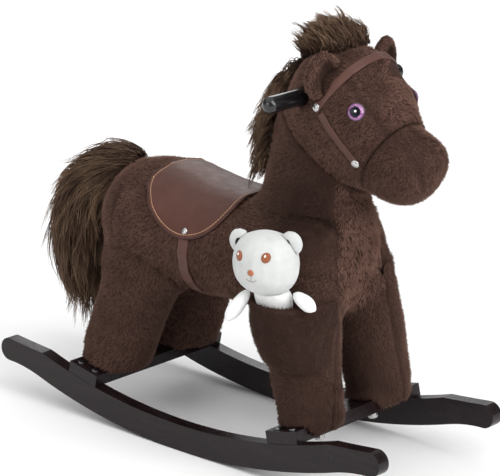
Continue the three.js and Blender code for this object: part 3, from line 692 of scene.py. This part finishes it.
def grow_pile(node, per_area, length, width, lift, seed):
    """Covers a skin with short strands, except where a neighbour lies on it."""
    rng = np.random.default_rng(seed)
    mesh = skins[node].data
    count = int(sum(face.area for face in mesh.polygons) * per_area * FUR_SHARE)
    p, n = sample_surface(mesh, count, rng)
    others = tree_of([skins[k] for k in PLUSH if k != node])
    keep = np.array([not buried(Vector(a + b * 0.0004), Vector(b), others) for a, b in zip(p, n)])
    p, n = p[keep], n[keep]
    lie = comb_field(p)
    lie -= n * (lie * n).sum(1, keepdims=True)
    lie = unit(lie) + 0.35 * rng.normal(size=p.shape)
    lie = unit(lie - n * (lie * n).sum(1, keepdims=True))
    angle = np.radians(lift) + rng.normal(0, 0.2, len(p))
    size = length * rng.uniform(0.7, 1.2, len(p))
    if node in FLUFFED:
        join = beside(p, FLUFFED[node], 0.002, 0.010)
        size *= 1 + 0.7 * join
        angle += 0.2 * join
    way = unit(lie * np.cos(angle)[:, None] + n * np.sin(angle)[:, None])
    tint = rng.normal(0, 0.10, len(p))
    # Painted shade and painted light on this cover's pile, starting from the cover's own factor.
    shade = np.full(len(p), PAINTED_LIGHT_AND_SHADE.get(node, 1.0))
    # Painted shade on the front legs fades out towards the torso, and on the far leg also towards its outer
    # side, so only its inner side is painted darker.
    if node.startswith("leg_plush_front"):
        fade = smoothstep(0.195, 0.262, p[:, 2])
        if node.endswith("left"):
            fade = np.maximum(fade, smoothstep(0.062, 0.098, p[:, 1] - MID_Y))
        shade += (1 - shade) * fade
    if node in CREASED:
        # Painted shade in the crease where this cover meets its neighbours, where the pile is also shorter.
        crease = beside(p, CREASED[node], 0.001, 0.009)
        size *= 1 - 0.5 * crease
        shade *= 1 - 0.5 * crease
    if node in SEAMED:
        # Painted shade along the sewn seams, where the pile is also shorter.
        sewn = np.exp(-((seam_distance(p) / 0.0032) ** 2))
        size *= 1 - 0.5 * sewn
        shade *= 1 - 0.55 * sewn
        # Painted light on the chest panel between the seams, more of it higher up.
        panel = (p[:, 0] > 0.14) * (1 - smoothstep(0.0, 0.004, seam_offset(p)))
        shade *= 1 + 0.32 * panel * smoothstep(0.10, 0.16, p[:, 2])
        # Painted shadow that the head casts on the near shoulder, outside the chest panel.
        shade *= 1 - (1 - panel) * 0.72 * np.exp(-((np.linalg.norm(p - NECK_PAINTED_SHADOW, axis=1) / 0.075) ** 2))
    if node in FACE_SEAMS:
        # Painted shade in the grooves of the face's seams, where the pile is also shorter.
        sewn = face_seam(node, p)
        size *= 1 - 0.45 * sewn
        shade *= 1 - 0.45 * sewn
    if node.startswith("ear"):
        # Painted shade in the ear's cup and painted light along its rim.
        shade *= ear_painted_light_and_shade(node, p, n)
    ok = np.array([hard_tree.ray_cast(Vector(a), Vector(d), s)[0] is None for a, d, s in zip(p, way, size)])
    p, n, way, size, lie, tint, shade = (x[ok] for x in (p, n, way, size, lie, tint, shade))
    clump = np.array([noise.noise(Vector(q) * 48) for q in p])
    tint = np.clip(tint + 0.32 * clump, -0.9, 0.9)
    # The torso's pile is in two pieces, so that neither has too many faces.
    left = p[:, 1] > MID_Y
    halves = {"_right": ~left, "_left": left} if node == "torso_plush" else {"": slice(None)}
    for suffix, mine in halves.items():
        foot, out, ahead = p[mine], n[mine], way[mine]
        verts, tris = spikes(foot - out * 0.0006, ahead, size[mine], width, np.cross(ahead, out))
        shades = {
            "along": np.tile([0.0, 0.0, 0.0, 1.0], len(foot)),
            "tint": np.repeat(tint[mine], 4),
            "shade": np.repeat(shade[mine], 4),
        }
        name = node.replace("_plush", "") + "_pile" + suffix
        rows = verts.reshape(-1, 4, 3)
        lean = unit(rows - rows[:, :3].mean(1, keepdims=True)) * 0.3 + out[:, None]
        obj = triangles_object(name, verts, tris, FUR, shades, lean=unit(lean).reshape(-1, 3))
        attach(obj, HORSE)


PILE = 330_000  # strands per square metre
# Painted light and shade on each cover's pile, as a factor on its colour (on the pocket the low factor is
# partly also the darker look of its nap), and the middle of the painted shadow that the head casts on the
# near shoulder.
PAINTED_LIGHT_AND_SHADE = {
    "head_plush": 1.08, "muzzle_plush": 0.94, "bear_pocket": 0.38,
    "leg_plush_front_right": 0.54, "leg_plush_front_left": 0.55, "leg_plush_rear_right": 0.82,
}
NECK_PAINTED_SHADOW = np.array([0.158, MID_Y - 0.055, 0.335])
# Joins where the pile stands up and hides the seam, and joins where it is short and painted darker, as shade
# in the crease.
FLUFFED = {
    "neck_plush": ["torso_plush", "leg_plush_front_left"],
    "torso_plush": ["neck_plush", "leg_plush_rear_right", "leg_plush_rear_left", "leg_plush_front_left"],
    "leg_plush_rear_right": ["torso_plush"],
    "leg_plush_rear_left": ["torso_plush"],
    "leg_plush_front_left": ["torso_plush", "neck_plush"],
}
CREASED = {
    "head_plush": ["muzzle_plush", "ear_right", "ear_left"],
    "muzzle_plush": ["head_plush"],
    "neck_plush": ["head_plush"],
    "bear_pocket": ["leg_plush_front_right", "torso_plush"],
    "leg_plush_front_right": ["bear_pocket"],
    "ear_right": ["head_plush"],
    "ear_left": ["head_plush"],
}
for i, node in enumerate(PLUSH):
    small = node.startswith("ear") or node == "bear_pocket"
    face = node in ("head_plush", "muzzle_plush")
    grow_pile(
        node,
        per_area=PILE * (1.15 if small or face else 1.0),
        length=0.0038 if node.startswith("ear") else 0.0050 if face else 0.0054,
        width=0.00060 if small or face else 0.00072,
        lift=42 if face else 38,
        seed=100 + i,
    )

# ---- Long hair: tail, mane and forelock ----


def strands(name, paths, widths, tints, body):
    """Tapered three-sided strands along paths of shape (count, steps, 3)."""
    count, steps, _ = paths.shape
    ahead = unit(np.gradient(paths, axis=1))
    side = unit(np.cross(ahead, np.array([0.2, 0.9, 0.35])))
    other = np.cross(ahead, side)
    t = np.linspace(0, 1, steps)
    taper = np.clip(1.05 - t**2.2, 0.08, 1)[None, :, None] * widths[:, None, None]
    taper[:, 0] *= 0.6
    verts = np.stack([paths + taper * around(k, 3, side, other) for k in range(3)], axis=2).reshape(-1, 3)
    end = 3 * (steps - 1)
    one = wall(steps, 3) + [[0, 2, 1], [end, end + 1, end + 2]]
    tris = repeated(one, count, 3 * steps)
    shades = {
        "along": np.tile(np.repeat(t, 3), count),
        "tint": np.repeat(tints, 3 * steps),
        "shade": np.ones(3 * steps * count),
    }
    obj = triangles_object(name, verts, tris, LONG_HAIR, shades, smooth=True)
    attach(obj, body)


def hair_core(node, body, inset):
    """The dark backing that the hair is sewn to, a little inside the hair's outer shape."""
    core = remeshed(node, f"{node}_backing", 0.005, 8, HAIR_CORE)
    co = coords(core.data)
    set_coords(core.data, co - normals(core.data) * inset)
    relax(core.data, 3)
    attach(core, body)
    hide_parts(node)
    return core


# The tail's middle line from root to tip: x, z, half-width across, half-depth, and the way of its depth.
TAIL_LINE = [
    [-0.182, 0.322, 0.010, 0.010, 84],
    [-0.198, 0.321, 0.022, 0.020, 90],
    [-0.230, 0.308, 0.034, 0.030, 108],
    [-0.262, 0.286, 0.042, 0.037, 132],
    [-0.284, 0.246, 0.045, 0.040, 158],
    [-0.292, 0.200, 0.044, 0.040, 174],
    [-0.292, 0.154, 0.036, 0.034, 182],
    [-0.288, 0.118, 0.018, 0.018, 186],
]


def tail_points(s, turn, out):
    """Places in the tail: s from root 0 to tip 1 and past it, turn in radians, out from 0 to 1."""
    row = catmull(TAIL_LINE, np.clip(s, 0, 1) * (len(TAIL_LINE) - 1))
    x, z, wide, deep, tilt = np.moveaxis(row, -1, 0)
    tilt = np.radians(tilt)
    past = np.maximum(s - 1, 0) * 0.26
    across = out * deep * np.sin(turn)
    y = MID_Y + out * wide * np.cos(turn)
    return np.stack([x + across * np.cos(tilt), y, z + across * np.sin(tilt) - past], axis=-1)


def along_path(stations, steps):
    """Smooth paths through per-lock stations of shape (locks, rows, 3), as (locks, steps, 3)."""
    rows = np.swapaxes(stations, 0, 1)
    return np.swapaxes(catmull(rows, np.linspace(0, len(rows) - 1, steps)), 0, 1)


def fill_locks(name, middle, per_lock, rng, body, spread, wave=0.0011, radius=0.0007):
    """Strands round each lock's middle path. They close up to a point towards its tip."""
    locks, steps, _ = middle.shape
    per_lock = per_lock
    lock = np.repeat(np.arange(locks), per_lock)
    t = np.linspace(0, 1, steps)
    own = 0.55 + 0.45 * np.sin(np.pi * t**0.7) - 0.9 * 0.55 * t**2
    paths = middle[lock] + rng.normal(0, spread, (len(lock), 1, 3)) * own[None, :, None]
    start = paths[:, :1]
    paths = start + (paths - start) * rng.uniform(0.78, 1.06, (len(lock), 1, 1))
    phase = rng.uniform(0, 6, (len(lock), 1, 1))
    paths += rng.normal(0, wave, (len(lock), 1, 3)) * (np.sin(5 * t[None, :, None] + phase) - np.sin(phase))
    tints = np.clip(rng.normal(0, 0.22, locks)[lock] + rng.normal(0, 0.16, len(lock)), -0.7, 0.9)
    strands(name, paths, radius * rng.uniform(0.75, 1.15, len(lock)), tints, body)


def grow_tail():
    rng = np.random.default_rng(7)
    locks = 470
    turn = rng.uniform(0, 2 * math.pi, locks)
    start = rng.uniform(-0.02, 0.84, locks)
    reach = rng.uniform(0.22, 0.40, locks)
    twist = rng.normal(0, 0.22, locks)
    flare = rng.uniform(0.05, 0.42, locks)
    rows = []
    for t in (0, 0.3, 0.65, 1.0):
        s = np.clip(start + reach * t, 0, 1.22)
        rows.append(tail_points(s, turn + twist * t, 0.80 + flare * t**1.6))
    middle = along_path(np.stack(rows, axis=1), 8)
    t = np.linspace(0, 1, 8)[None, :, None]
    middle += rng.normal(0, 0.006, (locks, 1, 3)) * t**2
    middle[..., 0] = np.maximum(middle[..., 0], cad_low.x - 0.019)
    fill_locks("tail_hair", middle, 9, rng, TAIL, 0.0034)


def rooted_locks(node, seed, locks, axis, least, offsets, wild):
    """Lock paths from a backing's surface, where its normal has at least so much of an axis. Each offset is
    (along the normal, then x, y and z)."""
    rng = np.random.default_rng(seed)
    p, n = sample_surface(cores[node].data, locks * 6, rng)
    keep = n @ np.array(axis) > least
    p, n = p[keep][:locks], n[keep][:locks]
    size = rng.uniform(0.7, 1.15, (len(p), 1))
    long = rng.random((len(p), 1)) < 0.1
    size = np.where(long, size * 1.35, size)
    rows = [p - n * 0.004]
    for out, x, y, z in offsets:
        rows.append(rows[0] + size * (n * out + np.array([x, y, z])))
    middle = along_path(np.stack(rows, axis=1), 8)
    t = np.linspace(0, 1, 8)[None, :, None]
    return middle + rng.normal(0, wild, (len(p), 1, 3)) * t**1.5, rng


cores = {
    "tail": hair_core("tail", TAIL, 0.013),
    "mane": hair_core("mane", HORSE, 0.008),
    "forelock": hair_core("forelock", HORSE, 0.008),
}
grow_tail()

MANE_FLOW = [(0.010, -0.001, 0, -0.004), (0.016, -0.006, 0, -0.014), (0.017, -0.013, 0, -0.030)]
middle, rng = rooted_locks("mane", 11, 380, (-1, 0, 0), -0.5, MANE_FLOW, 0.004)
fill_locks("mane_hair", middle, 9, rng, HORSE, 0.0030)

TUFT_FLOW = [(0.007, 0.002, 0, 0.003), (0.010, -0.003, 0, 0.009), (0.010, -0.013, 0, 0.012)]
middle, rng = rooted_locks("forelock", 12, 520, (0, 0, 1), -0.3, TUFT_FLOW, 0.0030)
middle[..., 2] = np.minimum(middle[..., 2], cad_high.z + 0.0225)
fill_locks("forelock_hair", middle, 8, rng, HORSE, 0.0024, wave=0.0008, radius=0.0007)

# ---- Saddle, its stitching, and the straps ----


def soft_strap(node, name, voxel, rounds, material):
    obj = remeshed(node, name, voxel, rounds, material)
    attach(obj, HORSE)
    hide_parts(node)
    return obj


saddle = soft_strap("saddle", "saddle_pad", 0.0022, 8, SADDLE)
settle(saddle.data, 70)
for node in ("girth_strap", "cheek_strap_right", "cheek_strap_left", "browband"):
    soft_strap(node, node + "_leather", 0.0011, 5, STRAP)

saddle_tree = tree_of([saddle])


def bezier(a, b, c, d, t):
    return (1 - t) ** 3 * a + 3 * (1 - t) ** 2 * t * b + 3 * (1 - t) * t**2 * c + t**3 * d


def saddle_edge(inset):
    """The right flap's outline in the XZ plane, from the back's top to the front's, moved in by inset."""
    points = np.array([
        (-0.116, 0.355), (-0.115, 0.345), (-0.113, 0.335), (-0.112, 0.325), (-0.094, 0.304), (-0.064, 0.273),
        (-0.024, 0.271), (0.010, 0.271), (0.033, 0.292), (0.034, 0.312), (0.034, 0.322), (0.022, 0.332),
        (0.010, 0.355),
    ])
    steps = np.linspace(0, 1, 60, endpoint=False)
    line = np.concatenate([[bezier(*points[i : i + 4], t) for t in steps] for i in (0, 3, 6, 9)])
    ahead = unit(np.gradient(line, axis=0))
    return line + np.stack([-ahead[:, 1], ahead[:, 0]], axis=1) * inset


def project(x, z, side):
    hit, normal, *_ = saddle_tree.ray_cast(Vector((x, MID_Y + side * 0.3, z)), Vector((0, -side, 0)), 0.4)
    return (hit, normal) if hit is not None and normal.y * side > 0.12 else None


def over_top(x, y):
    hit, normal, *_ = saddle_tree.ray_cast(Vector((x, MID_Y + y, 0.5)), Vector((0, 0, -1)), 0.4)
    return (hit, normal) if hit is not None else None


def bridge(a, b):
    """Over the saddle's top from one (point, normal) to another."""
    steps = np.linspace(0, 1, 60)[1:-1]
    return [over_top(a[0].x + (b[0].x - a[0].x) * t, (a[0].y + (b[0].y - a[0].y) * t) - MID_Y) for t in steps]


def edge_route(inset):
    """A loop of (point, normal) round the saddle, on its outer face."""
    flap = {}
    for side in (-1, 1):
        found = [project(x, z, side) for x, z in saddle_edge(inset)]
        flap[side] = [f for f in found if f]
    right, left = flap[-1], flap[1][::-1]
    route = right + bridge(right[-1], left[0]) + left + bridge(left[-1], right[0])
    return [r for r in route if r]


def evenly(route, gap):
    """Points at even distances along a closed route, with the way ahead and the normal."""
    points, outward = (np.array([r[i] for r in route + route[:1]]) for i in (0, 1))
    total = np.concatenate([[0], np.cumsum(np.linalg.norm(np.diff(points, axis=0), axis=1))])
    where = np.linspace(0, total[-1], int(total[-1] / gap), endpoint=False)
    at, up = (np.stack([np.interp(where, total, r) for r in rows.T], axis=1) for rows in (points, outward))
    ahead = unit(np.roll(at, -1, axis=0) - np.roll(at, 1, axis=0))
    return at, ahead, unit(up)


def stitches(name, at, ahead, up, length, radius):
    """Short rounded threads that lie on the saddle."""
    ring, rows = 8, [(-0.5, 0.15), (-0.42, 0.75), (-0.2, 1.0), (0.2, 1.0), (0.42, 0.75), (0.5, 0.15)]
    side = unit(np.cross(ahead, up))
    lift = np.cross(side, ahead)
    parts = [
        at + ahead * place * length + radius * fat * around(k, ring, side, lift, squash=0.8)
        for place, fat in rows
        for k in range(ring)
    ]
    verts = np.stack(parts, axis=1).reshape(-1, 3)
    one = wall(len(rows), ring)
    last = ring * (len(rows) - 1)
    for k in range(1, ring - 1):
        one += [[0, k + 1, k], [last, last + k, last + k + 1]]
    tris = repeated(one, len(at), len(parts))
    obj = triangles_object(name, verts, tris, STITCH, smooth=True)
    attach(obj, HORSE)


def tube(name, at, up, radius, material, body=HORSE, closed=True):
    """A round cord that follows a route on a surface."""
    ring = 10
    ahead = np.roll(at, -1, axis=0) - np.roll(at, 1, axis=0) if closed else np.gradient(at, axis=0)
    ahead = unit(ahead)
    side = unit(np.cross(ahead, up))
    lift = np.cross(side, ahead)
    verts = np.stack([at + radius * around(k, ring, side, lift) for k in range(ring)], axis=1).reshape(-1, 3)
    faces = quads(len(at), ring, closed)
    if not closed:
        faces += [list(range(ring))[::-1], list(range(len(verts) - ring, len(verts)))]
    obj = from_arrays(name, verts, faces, material)
    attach(obj, body)


at, ahead, up = evenly(edge_route(0.0052), 0.0042)
stitches("saddle_stitches", at + up * 0.0001, ahead, up, 0.0032, 0.00055)
at, ahead, up = evenly(edge_route(0.0006), 0.004)
tube("saddle_piping", at - up * 0.0006, up, 0.0017, PIPING)

# ---- Turned and metal pieces ----


def lathe(name, profile, centre, axis, material, sides=40):
    """Turns (radius, height) rows about an axis. The first and last rows are on the axis."""
    turn = Vector((0, 0, 1)).rotation_difference(Vector(axis)).to_matrix()
    local = []
    for radius, height in profile[1:-1]:
        for k in range(sides):
            angle = 2 * math.pi * k / sides
            local.append((radius * math.cos(angle), radius * math.sin(angle), height))
    rows = len(profile) - 2
    faces = quads(rows, sides)
    foot, tip = len(local), len(local) + 1
    local += [(0, 0, profile[0][1]), (0, 0, profile[-1][1])]
    verts = [turn @ Vector(place) + Vector(centre) for place in local]
    for k in range(sides):
        faces.append([foot, (k + 1) % sides, k])
        faces.append([tip, sides * (rows - 1) + k, sides * (rows - 1) + (k + 1) % sides])
    return from_arrays(name, verts, faces, material)


def flat_axis(node, outward):
    """Middle, short axis, height and radius of a button-like node. The axis points the given way."""
    co = coords(nodes[node].data)
    middle = (co.max(0) + co.min(0)) / 2
    axis = np.linalg.svd(co - co.mean(0), full_matrices=False)[2][2]
    if axis @ np.array(outward) < 0:
        axis = -axis
    along = (co - middle) @ axis
    off = np.linalg.norm((co - middle) - along[:, None] * axis, axis=1)
    return middle, axis, along.min(), along.max(), off.max()


for node in [n for n in nodes if "rivet" in n]:
    side = 1 if node.endswith("left") else -1
    middle, axis, low, high, radius = flat_axis(node, (0, side, 0))
    rows = [(0, low), (radius, low), (radius, low + 0.0005)]
    rows += [(radius * 0.94, low + 0.0009), (radius * 0.8, low + 0.0010)]
    for i in range(6):
        angle = i / 5 * math.pi / 2
        rows.append((radius * 0.78 * math.cos(angle), low + 0.001 + (high - low - 0.0009) * math.sin(angle)))
    rows[-1] = (0, high)
    button = lathe(node + "_cap", rows, middle, axis, STEEL)
    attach(button, HORSE)
    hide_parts(node)

low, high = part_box("handle_bar")
radius = (high.z - low.z) / 2
middle = (low + high) / 2
half = (high.y - low.y) / 2
rows = [(0, -half)]
for i in range(1, 9):
    angle = i / 8 * math.pi / 2
    rows.append((radius * math.sin(angle), -half + radius * 0.8 * (1 - math.cos(angle))))
rows += [(radius, -half * 0.8), (radius * 0.985, -half * 0.6)]
rows += [(r, -h) for r, h in reversed(rows)]
handle = lathe("handle_turned", rows, middle, (0, 1, 0), BLACK, sides=56)
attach(handle, HORSE)
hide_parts("handle_bar")


def eye_frame(node, side):
    """The dome's middle and outward axis, from the frame node's outermost face."""
    mesh = nodes[node].data
    totals = {}
    for p in mesh.polygons:
        if p.normal.y * side > 0.2:
            key = tuple(round(c, 2) for c in p.normal)
            totals[key] = totals.get(key, 0) + p.area
    axis = np.array(max(totals, key=totals.get), float)
    axis /= np.linalg.norm(axis)
    co = coords(mesh)
    top = (co @ axis).max()
    rim = co[(co @ axis) > top - 0.0047]
    centre = rim.mean(0)
    centre = centre + axis * (top - centre @ axis)
    return centre, axis


def dome(radius, height):
    """A dome's profile from its edge to its top."""
    rows = [(radius * math.cos(a), height * math.sin(a)) for a in np.linspace(0, math.pi / 2, 10)]
    return rows[:-1] + [(0, height)]


IRIS_DOME = (0.0101, 0.0046)
RIM_ROWS = [(0, -0.001), (0.0108, -0.001), (0.0112, 0.0004), *dome(0.0110, 0.0026)[1:]]
IRIS_ROWS = [(0, 0), *dome(*IRIS_DOME)]
PUPIL_ROWS = [(0, 0.001), (0.0064, 0.001), (0.0067, 0.0035)]
for r in np.linspace(0.0066, 0.0, 9):
    PUPIL_ROWS.append((r, 0.0005 + IRIS_DOME[1] * math.sqrt(1 - (r / IRIS_DOME[0]) ** 2)))
PAINTED_GLINT_ROWS = [(0, 0), *dome(0.0015, 0.0008)]
for node, side in (("eye_right", -1), ("eye_left", 1)):
    centre, axis = eye_frame(node, side)
    base = centre - axis * 0.0052
    # The glint is a painted highlight: a small white dome on the pupil where a lamp's reflection would show.
    spot = base + axis * 0.0050 + np.array([0.0006, 0.0, 0.0010])
    rim = lathe(node + "_rim", RIM_ROWS, base, axis, RIM)
    iris = lathe(node + "_iris", IRIS_ROWS, base, axis, IRIS)
    pupil = lathe(node + "_pupil", PUPIL_ROWS, base, axis, PUPIL)
    painted_glint = lathe(node + "_glint", PAINTED_GLINT_ROWS, spot, axis, GLINT_PAINTED_AND_PRINTED)
    for obj in (rim, iris, pupil, painted_glint):
        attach(obj, HORSE)
    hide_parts(node)


def paint(node, material):
    nodes[node].data.materials.clear()
    nodes[node].data.materials.append(material)


for node in [n for n in nodes if n.startswith(("crossbar_screw", "leg_bolt"))]:
    smooth_by_angle(nodes[node].data, 40)
    paint(node, DARK_STEEL if "screw" in node else STEEL)

for node in ("rocker_right", "rocker_left", "crossbar_front", "crossbar_rear"):
    obj = nodes[node]
    paint(node, WOOD)
    bevel = obj.modifiers.new("eased_edges", "BEVEL")
    bevel.width = 0.0016
    bevel.segments = 3
    bevel.limit_method = "ANGLE"
    bevel.angle_limit = math.radians(50)
    smooth_by_angle(obj.data, 28)
for node in INNER:
    paint(node, RAW_WOOD)

# ---- The bear's face and ears ----

head_low, head_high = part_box("bear_head")
head_middle = (head_low + head_high) / 2
bear_turn = Matrix.Rotation(math.radians(14), 3, "Z")
bear_head_tree = tree_of([skins["bear_head"]])


def seen_from_front(tree, middle, x, z):
    """The nearest place of a piece, and its normal, at x and z in the bear's own turned frame."""
    start = middle + bear_turn @ Vector((x, -0.2, z))
    return tree.ray_cast(start, bear_turn @ Vector((0, 1, 0)), 0.4)[:2]


def on_bear(x, z):
    """The place on the bear's face at x to its own left and z up from its head's middle, and the normal."""
    return seen_from_front(bear_head_tree, head_middle, x, z)


def patch(name, outline, material, thick, place_at=on_bear):
    """A slightly domed appliqué whose outline is given in the face's x and z."""
    rings = 5
    middle = np.mean(outline, axis=0)
    upper, lower = [], []
    for r in range(1, rings + 1):
        share = r / rings
        for point in outline:
            hit, normal = place_at(*(middle + (point - middle) * share))
            upper.append(hit + normal * thick * (1 - 0.75 * share**3))
            lower.append(hit - normal * 0.0008)
    hit, normal = place_at(*middle)
    count = len(outline)
    verts = upper + lower + [hit + normal * thick, hit - normal * 0.0008]
    total = rings * count
    faces = []
    for k in range(count):
        n = (k + 1) % count
        faces.append([2 * total, k, n])
        faces.append([2 * total + 1, total + n, total + k])
        for r in range(rings - 1):
            a, b = r * count + k, r * count + n
            faces.append([a, a + count, b + count, b])
            faces.append([total + a, total + b, total + b + count, total + a + count])
        a, b = (rings - 1) * count + k, (rings - 1) * count + n
        faces.append([a, total + a, total + b, b])
    obj = from_arrays(name, verts, faces, material)
    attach(obj, BEAR)


def oval(x, z, wide, tall, count=28):
    a = np.linspace(0, 2 * math.pi, count, endpoint=False)
    return np.stack([x + wide * np.cos(a), z + tall * np.sin(a)], axis=1)


def face_thread(name, line, radius):
    spots = [on_bear(x, z) for x, z in line]
    at = np.array([hit + normal * 0.0001 for hit, normal in spots])
    tube(name, at, np.array([normal for _, normal in spots]), radius, THREAD, body=BEAR, closed=False)


BEAR_EYES = {"front": (0.0150, 0.0150), "rear": (-0.0222, 0.0120)}
for name, (x, z) in BEAR_EYES.items():
    patch(f"bear_eye_{name}", oval(x, z, 0.0056, 0.0062), BROWN_FELT, 0.0013)
    patch(f"bear_eye_{name}_glint", oval(x - 0.001, z + 0.0018, 0.0014, 0.0018, 16), GLINT_PAINTED_AND_PRINTED, 0.0021)
for name in BEAR_EYES:
    ear_tree = tree_of([skins[f"bear_ear_{name}"]])
    low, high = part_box(f"bear_ear_{name}")
    ear_middle = (low + high) / 2

    def on_ear(x, z):
        for share in (1.0, 0.85, 0.7, 0.5, 0.25, 0.0):
            hit, normal = seen_from_front(ear_tree, ear_middle, x * share, z * share)
            if hit is not None:
                return hit, normal
        return ear_middle, Vector((0, -1, 0))

    lining = oval(-0.0035 if name == "front" else 0.0030, -0.0015, 0.0046, 0.0066, 24)
    patch(f"bear_ear_{name}_lining", lining, BLACK_FELT, 0.0008, on_ear)

NOSE_X = -0.0035
nose = oval(NOSE_X, -0.0050, 0.0048, 0.0040, 30)
nose[:, 1] -= 0.0012 * np.abs((nose[:, 0] - NOSE_X) / 0.0048)
nose[:, 0] += 0.35 * (nose[:, 0] - NOSE_X) * np.clip((nose[:, 1] + 0.0045) / 0.005, -1, 0)
patch("bear_nose", nose, NOSE_FELT, 0.0022)
smile = [(NOSE_X + 0.0072 * t, -0.0168 + 0.0028 * t * t) for t in np.linspace(-1, 1, 21)]
face_thread("bear_mouth", smile, 0.00035)
face_thread("bear_mouth_line", [(NOSE_X, z) for z in np.linspace(-0.0092, -0.0167, 9)], 0.0003)

# ---- Stage ----

pale = Nodes("pale_floor")
pale.colour(pale.ramp(pale.noise(3, 3), [(0.3, (0.86, 0.86, 0.86)), (0.7, (0.89, 0.89, 0.89))]))
pale.set(Roughness=0.7)
corners = [(-9, -9, 0), (9, -9, 0), (9, 9, 0), (-9, 9, 0)]
floor = from_arrays("floor", corners, [(0, 1, 2, 3)], pale.material, False)
floor.location.z = -0.0004
floor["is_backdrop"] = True

world = bpy.data.worlds.new("studio")
world.use_nodes = True
world.node_tree.nodes["Background"].inputs["Color"].default_value = (1.0, 1.0, 1.0, 1)
world.node_tree.nodes["Background"].inputs["Strength"].default_value = 0.22
scene.world = world


def turn_to(obj, target):
    obj.rotation_euler = (Vector(target) - obj.location).to_track_quat("-Z", "Y").to_euler()


def lamp(name, kind, place, energy, target=(0.0, 0.0, 0.28)):
    light = bpy.data.lights.new(name, kind)
    light.energy = energy
    obj = bpy.data.objects.new(name, light)
    scene.collection.objects.link(obj)
    obj.location = place
    turn_to(obj, target)
    return light


def softbox(name, place, size, power):
    light = lamp(name, "AREA", place, power)
    light.shape = "RECTANGLE"
    light.size, light.size_y = size


def sky(name, place, strength, wide):
    lamp(name, "SUN", place, strength, target=(0, 0, 0)).angle = math.radians(wide)


sky("broad_key", (0.95, -0.30, 0.85), 2.3, 50)
sky("overhead", (-0.2, -0.15, 1.0), 1.35, 90)
softbox("side", (-0.6, -2.6, 1.1), (1.6, 1.4), 17)
softbox("front", (2.6, 0.2, 1.2), (1.4, 1.4), 26)
softbox("back", (-1.6, 2.2, 1.6), (1.4, 1.4), 14)

camera = bpy.data.objects.new("camera", bpy.data.cameras.new("camera"))
scene.collection.objects.link(camera)
camera.data.sensor_width = 36
camera.data.lens = 192.84
camera.location = (2.2056, -2.4194 + MID_Y, 1.2417)
turn_to(camera, (0.01327, MID_Y, 0.25833))
scene.camera = camera
scene.view_settings.view_transform = "Standard"

low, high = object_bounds()
